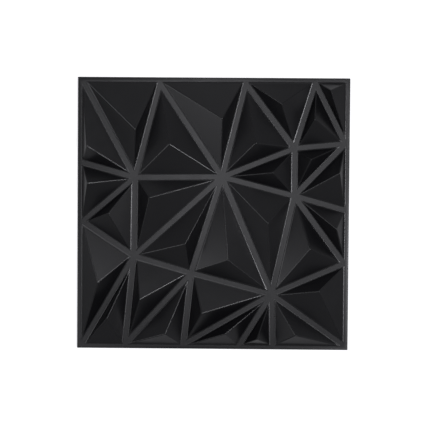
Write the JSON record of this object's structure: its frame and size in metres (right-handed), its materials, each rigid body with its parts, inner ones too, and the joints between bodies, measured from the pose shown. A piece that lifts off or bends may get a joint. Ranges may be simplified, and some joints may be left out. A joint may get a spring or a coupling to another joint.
{
  "type": "wall panel tile",
  "caption": "Square black plastic wall tile: faceted pyramids with off-centre peaks, set between flat straight channels inside a flat rim, with an open back.",
  "frame": {"origin": "middle of the tile's back, on the plane of the wall or floor that its rim rests on", "axes": "+Z out of the tile's face, +Y towards the edge that is at the top when it hangs, +X to the right"},
  "size_m": [0.5, 0.5, 0.035],
  "materials": {
    "panel_plastic": "satin"
  },
  "bodies": {
    "root": {"wall_panel": "panel_plastic"}
  },
  "joints": []
}
